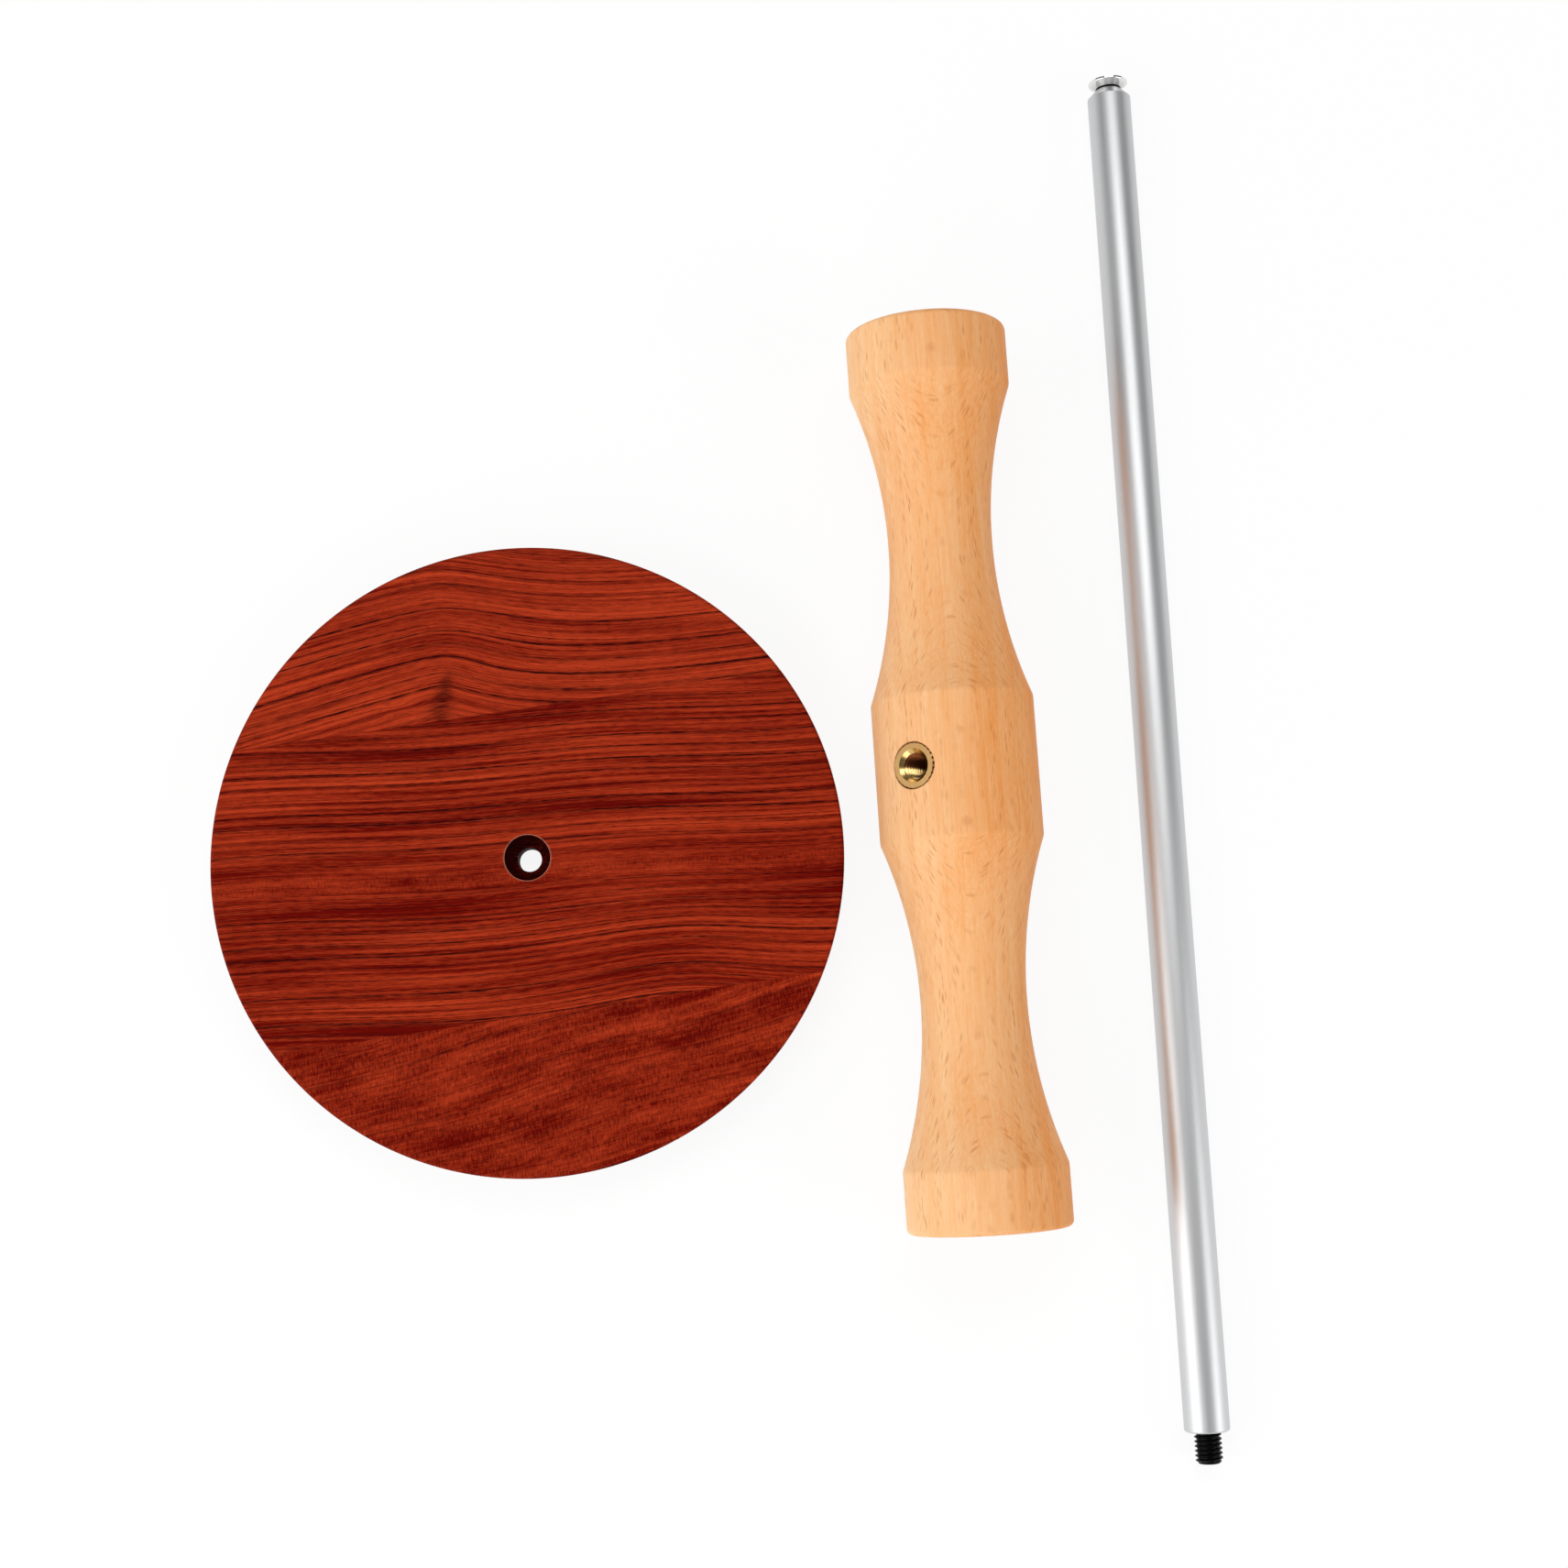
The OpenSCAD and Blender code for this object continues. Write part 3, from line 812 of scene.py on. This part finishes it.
def crossbar_outline(bar, half_length, radius):
    """Half outline from the middle of the barrel to the middle of the end face, as rows of (place along,
    radius). Each cove is an arc r = waist + R - sqrt(R^2 - d^2) through the waist and the two arrises,
    which are eased."""
    waist = bar.waist_d / 2
    barrel = bar.barrel_l / 2
    cove_end = half_length - bar.end_l
    middle = (barrel + cove_end) / 2
    sink = radius - waist
    arc_r = ((cove_end - barrel) ** 2 / 4 + sink ** 2) / (2 * sink)

    def cove(place):
        return np.stack([place, waist + arc_r - np.sqrt(arc_r ** 2 - (place - middle) ** 2)], -1)

    soft = bar.arris
    near, far = cove(np.array([barrel + soft, cove_end - soft]))
    flat = np.linspace(0, WINDOW, WINDOW_ROWS)[:, None]
    quarter = np.linspace(0, math.pi / 2, RIM_ROWS)[:, None]
    rim_along = half_length - bar.ease + bar.ease * np.sin(quarter)
    rim_out = radius - bar.ease + bar.ease * np.cos(quarter)
    face = np.linspace(radius - bar.ease, 0, END_ROWS)[1:, None]
    return np.concatenate([
        np.hstack([flat, radius + 0 * flat]),
        eased((barrel - soft, radius), (barrel, radius), near, ARRIS_ROWS),
        cove(np.linspace(barrel + soft, cove_end - soft, COVE_ROWS)[1:-1]),
        eased(far, (cove_end, radius), (cove_end + soft, radius), ARRIS_ROWS),
        np.hstack([rim_along, rim_out]),
        np.hstack([half_length + 0 * face, face]),
    ])


def crossbar_surface(bar):
    """Turned bar with a window round the insert's seat. Inside the window, rows run from the window's edge
    to the seat's round mouth, both measured on the barrel, then down the seat's wall and in over its floor.
    Coordinates are sideways, out along the insert's axis, and along the bar."""
    half_length = reach("crossbar", BAR_CENTRE, BAR_ALONG)[1]
    radius = (BAR_HIGH[2] - BAR_LOW[2]) / 2
    half = crossbar_outline(bar, half_length, radius)
    along = np.concatenate([-half[:0:-1, 0], half[:, 0]])
    out = np.concatenate([half[:0:-1, 1], half[:, 1]])
    angles = (np.arange(BAR_COLUMNS) - BAR_COLUMNS // 2) / BAR_COLUMNS * TURN
    shell = stacked(out[:, None] * np.sin(angles), out[:, None] * np.cos(angles), along[:, None])
    faces = grid_faces(len(along), BAR_COLUMNS)

    rows = np.flatnonzero(np.abs(along) < WINDOW + WELD)
    ring = np.arange(BAR_COLUMNS // 2 - WINDOW_COLUMNS, BAR_COLUMNS // 2 + WINDOW_COLUMNS + 1)
    row, column = np.divmod(faces[:, 0], BAR_COLUMNS)
    inside = (row >= rows[0]) & (row < rows[-1]) & (column >= ring[0]) & (column < ring[-1])

    side, ends = along[rows], angles[ring]
    # Once round the window's edge
    edge_along = np.concatenate([
        side[:-1], side[-1] + 0 * ends[:-1], side[:0:-1], side[0] + 0 * ends[:0:-1]])
    edge_angle = np.concatenate([
        ends[0] + 0 * side[:-1], ends[:-1], ends[-1] + 0 * side[:0:-1], ends[:0:-1]])
    heading = np.arctan2(radius * edge_angle, edge_along)
    seat_r = bar.seat_d / 2
    mouth_r = seat_r + SEAT_EASE
    mouth_angle = np.arcsin(mouth_r * np.sin(heading) / radius)
    part = np.linspace(1, 0, COLLAR_ROWS)[:, None]
    place = mouth_r * np.cos(heading) * (1 - part) + edge_along * part
    angle = mouth_angle * (1 - part) + edge_angle * part
    collar = stacked(radius * np.sin(angle), radius * np.cos(angle), place)

    sideways, lengthways = seat_r * np.sin(heading), seat_r * np.cos(heading)
    lip = np.sqrt(radius ** 2 - sideways ** 2) - SEAT_EASE
    floor = (INSERT_FACE - BAR_CENTRE) @ INSERT_OUT - bar.seat_depth
    depth = np.linspace(1, 0, SEAT_ROWS)[:, None]
    wall = stacked(sideways, floor + (lip - floor) * depth, lengthways)
    disc = stacked(sideways * depth[1:], floor, lengthways * depth[1:])
    seat = np.concatenate([collar, wall, disc])
    return [(shell, faces[~inside]), (seat, grid_faces(*seat.shape[:2]))]


class TSTAND_OT_crossbar(bpy.types.Operator):
    """Build the turned crossbar with its two waists and the insert's seat"""

    bl_idname = "tstand.crossbar"
    bl_label = "Crossbar"

    def execute(self, context):
        bar = context.scene.tstand_crossbar
        patches = [(BAR_CENTRE + points @ BAR_AXES, faces) for points, faces in crossbar_surface(bar)]
        add_piece("turned_crossbar", "crossbar", patches, turned_beech(bar))
        return {"FINISHED"}


# Mesh rows down the insert's bore
BORE_ROWS = 169


def insert_mouth_r(insert):
    """Radius of the mouth's chamfer at the insert's face."""
    return mount_radius("insert_thread") + insert.mouth


def insert_surface(insert):
    """Knurled bush as one closed ring: up the outer wall, whose radius drops in a V at each groove, over
    the face, down the mouth's chamfer and the helical thread, and out over the lower face. Its mouth is at
    z = 0."""
    pitch_angle = TURN / insert.knurl_n
    radius = insert.outer_d / 2
    groove = insert.knurl_h / radius
    # Columns fall on the floor, the flanks and the edges of each groove
    marks = np.array([0, groove / 2, groove, (pitch_angle / 2 + groove) / 2, pitch_angle / 2])
    marks = np.concatenate([marks, pitch_angle - marks[-2:0:-1]])
    angles = (np.arange(insert.knurl_n)[:, None] * pitch_angle + marks).ravel()
    from_groove = np.abs((angles + pitch_angle / 2) % pitch_angle - pitch_angle / 2)
    knurl = radius - np.maximum(0, insert.knurl_h - from_groove * radius)

    height = np.linspace(0, -insert.bush_l, BORE_ROWS)[:, None]
    ridge = thread_ridge(height / insert.pitch - angles / TURN)
    thread = insert.thread_d / 2 - thread_depth(insert.pitch) * ridge
    bore = np.maximum(thread, insert_mouth_r(insert) + height)
    low, high = -insert.bush_l, 0
    rim = np.minimum(knurl, radius - insert.rim)
    rows_r = np.concatenate([[rim, knurl, knurl, rim], bore])
    rows_z = np.concatenate([[[low], [low + insert.rim], [high - insert.rim], [high]], height])
    return turned(rows_r, rows_z, angles, loop=True)


def oil_and_shade_share(points, insert):
    """Share of oil and painted shade on each point: an oil film outside, none on the mouth's chamfer, and in
    the bore painted shade, a little on the side towards the bar's front end and nearly all on the other side."""
    out = np.hypot(points[:, 0], points[:, 1])
    mouth_r = insert_mouth_r(insert)
    bore = (out < mouth_r) & (points[:, 2] < -WELD)
    mouth = np.abs(out - mouth_r - points[:, 2]) < 2 * WELD
    # Painted shade in the bore: a little towards the bar's front end, nearly all on the other side
    rear = 0.5 + 0.42 * np.tanh(points[:, 1] / (0.2 * MM))
    return np.where(bore, np.where(mouth, 0, rear), insert.film)


class TSTAND_OT_insert(bpy.types.Operator):
    """Build the knurled brass insert in the crossbar's side"""

    bl_idname = "tstand.insert"
    bl_label = "Threaded insert"

    def execute(self, context):
        insert = context.scene.tstand_insert
        points, faces = insert_surface(insert)
        own = axes(INSERT_OUT, BAR_ALONG)
        patches = [(INSERT_FACE + points @ own, faces)]
        piece = add_piece("knurled_insert", "threaded_insert", patches, machined_brass(insert), crisp=25)
        oil_and_painted_shade = oil_and_shade_share((mesh_points(piece) - INSERT_FACE) @ own.T, insert)
        set_attribute(piece, "oil_and_painted_shade", oil_and_painted_shade, oil_and_painted_shade, oil_and_painted_shade)
        return {"FINISHED"}


# Pole and its screws

# Mesh columns round the pole and the screws, and rows to each pitch of their threads
ROD_COLUMNS, SCREW_COLUMNS, STUD_COLUMNS = 128, 160, 96
SCREW_ROWS, STUD_ROWS = 14, 16
# Mesh rings over the face of the screw's head
FACE_RINGS = 73
# Width of the small breaks on the edges of the pole and the screw's head
EDGE_BREAK = 0.08 * MM


def on_rod(points):
    """Points from the rod's own axes, with the length along z, to the frame."""
    return ROD_POINT + points @ ROD_AXES


def rod_surface(rod):
    """Turned rod: from the point of the stud's hole out over the end, along the rod, over the chamfered
    nose and into the screw's hole."""
    radius = mount_radius("pole")
    stud_r, screw_r = rod.stud_hole_d / 2, rod.screw_hole_d / 2
    slope = 1 / math.tan(rod.drill_point / 2)
    stud_z, screw_z = ROD_FOOT + rod.stud_hole_l, ROD_TOP - rod.screw_hole_l
    nose_z, soft = ROD_TOP - rod.nose, EDGE_BREAK
    outline = rows_of(
        (0, stud_z + stud_r * slope), (stud_r, stud_z),
        (stud_r, ROD_FOOT + soft), (stud_r + soft, ROD_FOOT),
        (radius - rod.edge, ROD_FOOT), (radius, ROD_FOOT + rod.edge),
        (radius, nose_z - soft), (radius - soft / 3, nose_z),
        (radius - rod.nose + soft, ROD_TOP - soft), (radius - rod.nose, ROD_TOP),
        (screw_r, ROD_TOP), (screw_r, screw_z), (0, screw_z - screw_r * slope))
    return turned(*outline, full_circle(ROD_COLUMNS))


class TSTAND_OT_rod(bpy.types.Operator):
    """Build the satin pole with its chamfered nose and drilled ends"""

    bl_idname = "tstand.rod"
    bl_label = "Pole"

    def execute(self, context):
        rod = context.scene.tstand_rod
        points, faces = rod_surface(rod)
        add_piece("satin_pole", "rod", [(on_rod(points), faces)], satin_aluminium(rod), crisp=20)
        return {"FINISHED"}


def screw_surface(screw):
    """Countersunk screw from its tip to the middle of its head. The shank is a helix: at height z and angle
    a the ridge's phase is z / pitch - a / turn. The head's face sinks inside the cross recess, down to its
    cone."""
    foot, top = reach("base_screw", ROD_POINT, ROD_ALONG)
    angles = full_circle(SCREW_COLUMNS)
    radius = screw.thread_d / 2
    neck = top - screw.cone_h - screw.rim_h
    shank_z = np.arange(foot, neck - screw.pitch / 2, screw.pitch / SCREW_ROWS)[:, None]
    ridge = thread_ridge((shank_z - foot) / screw.pitch - angles / TURN)
    shank = radius - thread_depth(screw.pitch) * (1 - ridge)
    shank = np.minimum(shank, radius - screw.tip + shank_z - foot)
    head_r, fine = screw.head_d / 2, EDGE_BREAK
    slope = fine * (head_r - radius) / screw.cone_h
    # The third and fourth corners lie on the cone, where its painted shade ends
    head, head_z = rows_of(
        (radius - fine, neck - screw.pitch / 3), (radius, neck), (radius + 3 * slope, neck + 3 * fine),
        (radius + 4 * slope, neck + 4 * fine), (head_r - fine / 2, neck + screw.cone_h - fine / 2),
        (head_r, neck + screw.cone_h + fine / 2), (head_r, top - fine), (head_r - fine, top))

    out = np.linspace(head_r - fine, 0, FACE_RINGS)[1:, None]
    wing = np.minimum(np.abs(out * np.cos(angles)), np.abs(out * np.sin(angles)))
    span, width = screw.recess_span / 2, screw.recess_w / 2
    inside = np.clip((width - wing) / fine + 0.5, 0, 1)
    sink = screw.recess_h * np.clip((span - out) / (span - width), 0, 1)
    face_z = top - sink * inside

    ones = np.ones((1, SCREW_COLUMNS))
    rows_r = np.concatenate([0 * ones, shank, head * ones, out * ones])
    rows_z = np.concatenate([foot * ones, shank_z * ones, head_z * ones, face_z])
    return turned(rows_r, rows_z, angles)


def screw_oil_and_shade(points, screw):
    """Share of painted shade on each point: it fills the corner under the head, from a third of a millimetre
    above the thread's end, and thins out to a quarter down the thread."""
    below = reach("base_screw", ROD_POINT, ROD_ALONG)[1] - (points - ROD_POINT) @ ROD_ALONG
    depth = below - screw.cone_h - screw.rim_h
    thinned = 0.25 + 0.75 * bell(np.maximum(depth, 0), 0, 1.2 * MM)
    return np.clip(depth / (0.1 * MM) + 3.5, 0, 1) * thinned


class TSTAND_OT_screw(bpy.types.Operator):
    """Build the countersunk screw in the pole's nose"""

    bl_idname = "tstand.screw"
    bl_label = "Base screw"

    def execute(self, context):
        screw = context.scene.tstand_screw
        points, faces = screw_surface(screw)
        patches = [(on_rod(points), faces)]
        piece = add_piece("countersunk_screw", "base_screw", patches, bright_nickel(screw), crisp=25)
        oil_and_painted_shade = screw_oil_and_shade(mesh_points(piece), screw)
        set_attribute(piece, "oil_and_painted_shade", oil_and_painted_shade, oil_and_painted_shade, oil_and_painted_shade)
        return {"FINISHED"}


def stud_surface(stud):
    """Headless screw from the floor of its hexagon socket, out over the end, along the helical thread to
    its other end. The socket's radius is half the width over the cosine of the angle from the middle of a
    flat."""
    foot, top = reach("crossbar_stud", ROD_POINT, ROD_ALONG)
    angles = full_circle(STUD_COLUMNS)
    flat = TURN / 6
    socket = stud.hex_w / 2 / np.cos(angles % flat - flat / 2)
    radius = stud.thread_d / 2
    thread_z = np.linspace(foot, top, round((top - foot) / stud.pitch * STUD_ROWS))[:, None]
    # The thread starts three tenths of a turn round
    ridge = thread_ridge((thread_z - foot) / stud.pitch - angles / TURN + 0.3)
    thread = radius - thread_depth(stud.pitch) * (1 - ridge)
    cone = radius - stud.edge + np.minimum(thread_z - foot, top - thread_z)
    floor_z = foot + stud.hex_h
    centre = np.zeros_like(socket)
    rows_r = np.concatenate([[centre, socket, socket], np.minimum(thread, cone), [centre]])
    rows_z = np.concatenate([[[floor_z], [floor_z], [foot]], thread_z, [[top]]])
    return turned(rows_r, rows_z, angles)


class TSTAND_OT_stud(bpy.types.Operator):
    """Build the black headless screw in the pole's other end"""

    bl_idname = "tstand.stud"
    bl_label = "Crossbar stud"

    def execute(self, context):
        stud = context.scene.tstand_stud
        points, faces = stud_surface(stud)
        add_piece("set_screw", "crossbar_stud", [(on_rod(points), faces)], black_oxide(stud), crisp=25)
        return {"FINISHED"}


# Stage

# Name, middle, width, height and brightness of each softbox, in metres and in units of a white surface
SOFTBOXES = (
    ("rear_softbox", (0.08, 0.89, 1.5), 1.3, 0.8, 3.8),
    ("left_softbox", (-1.05, -0.3, 0.75), 1.1, 1.2, 2.7),
    ("right_softbox", (1.15, -0.4, 0.65), 0.8, 0.8, 3.1),
    ("front_softbox", (-0.3, -1.05, 0.65), 1.1, 0.8, 2.4),
)
# Point on the table that the softboxes face
AIM = Vector((0.05, 0.02, 0.0))
# Mesh rows from the floor's middle, where they lie closer together, to its edge, and columns round it
FLOOR_ROWS, FLOOR_COLUMNS = 41, 64
# Width of the camera's sensor in millimetres, and the nearest distance that it sees, in metres
SENSOR = 36
NEAREST = 0.01


def paper_floor(stage):
    """Matt white paper. The eye, and what shines, sees it mostly as plain white, with a share of its real
    shading, so that the pieces keep their shadows. Everything else sees it as matt paper."""
    material = bpy.data.materials.new("white_paper")
    material.use_nodes = True
    tree = material.node_tree
    tree.nodes.remove(tree.nodes["Principled BSDF"])
    rays = add(tree, "LightPath").outputs
    seen = rays["Is Camera Ray"]
    for ray in ("Is Glossy Ray", "Is Transmission Ray"):
        seen = add(tree, "Math", {0: seen, 1: rays[ray]}, operation="MAXIMUM")
    white = add(tree, "Math", {0: seen, 1: stage.plain_share}, operation="MULTIPLY")
    matt = add(tree, "BsdfDiffuse", {"Color": rgba(stage.floor)})
    plain = add(tree, "Emission", {"Strength": 1})
    both = add(tree, "MixShader", {0: white, 1: matt, 2: plain})
    tree.links.new(both.outputs[0], tree.nodes["Material Output"].inputs["Surface"])
    return material


def floor_surface(stage):
    """Round floor, flat to half its radius and then curled up by an S curve: z = h (3 t^2 - 2 t^3)."""
    out = stage.floor_r * np.linspace(0, 1, FLOOR_ROWS)[:, None] ** 1.5
    part = np.clip(2 * out / stage.floor_r - 1, 0, 1)
    height = stage.floor_curl * part ** 2 * (3 - 2 * part) - stage.floor_gap
    return turned(out, height, full_circle(FLOOR_COLUMNS))


def add_floor(stage):
    """The floor's object, marked as stage."""
    points, faces = floor_surface(stage)
    mesh = bpy.data.meshes.new("floor")
    mesh.from_pydata(points.reshape(-1, 3).tolist(), [], faces.tolist())
    mesh.shade_smooth()
    mesh.materials.append(paper_floor(stage))
    floor = bpy.data.objects.new("floor", mesh)
    bpy.context.scene.collection.objects.link(floor)


def add_softbox(name, place, width, height, brightness):
    """Rectangular lamp that faces the table and gives off pi times its brightness per square metre."""
    lamp = bpy.data.lights.new(name, "AREA")
    lamp.shape = "RECTANGLE"
    lamp.size = width
    lamp.size_y = height
    lamp.energy = brightness * math.pi * width * height
    softbox = bpy.data.objects.new(name, lamp)
    softbox.location = place
    softbox.rotation_euler = (AIM - Vector(place)).to_track_quat("-Z", "Y").to_euler()
    bpy.context.scene.collection.objects.link(softbox)


def add_camera(stage):
    """Camera that looks down on the table, leaning back a little."""
    lens = bpy.data.cameras.new("camera")
    lens.sensor_width = SENSOR
    lens.lens = stage.lens
    lens.clip_start = NEAREST
    camera = bpy.data.objects.new("camera", lens)
    camera.location = stage.eye
    camera.rotation_mode = "ZYX"
    camera.rotation_euler = (stage.tilt, stage.roll, 0)
    bpy.context.scene.collection.objects.link(camera)
    bpy.context.scene.camera = camera


class TSTAND_OT_stage(bpy.types.Operator):
    """Set up the pale floor, the soft lamps and the camera"""

    bl_idname = "tstand.stage"
    bl_label = "Stage"

    def execute(self, context):
        scene = context.scene
        stage = scene.tstand_stage
        scene.view_settings.view_transform = "Standard"
        world = bpy.data.worlds.new("room")
        world.use_nodes = True
        world.node_tree.nodes["Background"].inputs["Color"].default_value = rgba((stage.room,) * 3)
        scene.world = world
        add_floor(stage)
        for softbox in SOFTBOXES:
            add_softbox(*softbox)
        add_camera(stage)
        return {"FINISHED"}


# Panel and registration

GROUPS = (
    ("tstand_stage", StageSettings, TSTAND_OT_stage),
    ("tstand_base", BaseSettings, TSTAND_OT_base),
    ("tstand_crossbar", CrossbarSettings, TSTAND_OT_crossbar),
    ("tstand_insert", InsertSettings, TSTAND_OT_insert),
    ("tstand_rod", RodSettings, TSTAND_OT_rod),
    ("tstand_screw", ScrewSettings, TSTAND_OT_screw),
    ("tstand_stud", StudSettings, TSTAND_OT_stud),
)


class TSTAND_PT_panel(bpy.types.Panel):
    """Lists the stand's settings and the operators that build from them"""

    bl_idname = "TSTAND_PT_panel"
    bl_label = "T-stand"
    bl_space_type = "VIEW_3D"
    bl_region_type = "UI"
    bl_category = "T-stand"

    def draw(self, context):
        for name, settings, operator in GROUPS:
            box = self.layout.box()
            group = getattr(context.scene, name)
            for key in settings.__annotations__:
                box.prop(group, key)
            box.operator(operator.bl_idname)


def register():
    for name, settings, operator in GROUPS:
        bpy.utils.register_class(settings)
        bpy.utils.register_class(operator)
        setattr(bpy.types.Scene, name, PointerProperty(type=settings))
    bpy.utils.register_class(TSTAND_PT_panel)


def unregister():
    bpy.utils.unregister_class(TSTAND_PT_panel)
    for name, settings, operator in reversed(GROUPS):
        delattr(bpy.types.Scene, name)
        bpy.utils.unregister_class(operator)
        bpy.utils.unregister_class(settings)


def main():
    register()
    bpy.ops.tstand.stage()
    bpy.ops.tstand.base()
    bpy.ops.tstand.crossbar()
    bpy.ops.tstand.insert()
    bpy.ops.tstand.rod()
    bpy.ops.tstand.screw()
    bpy.ops.tstand.stud()


if __name__ == "__main__":
    main()
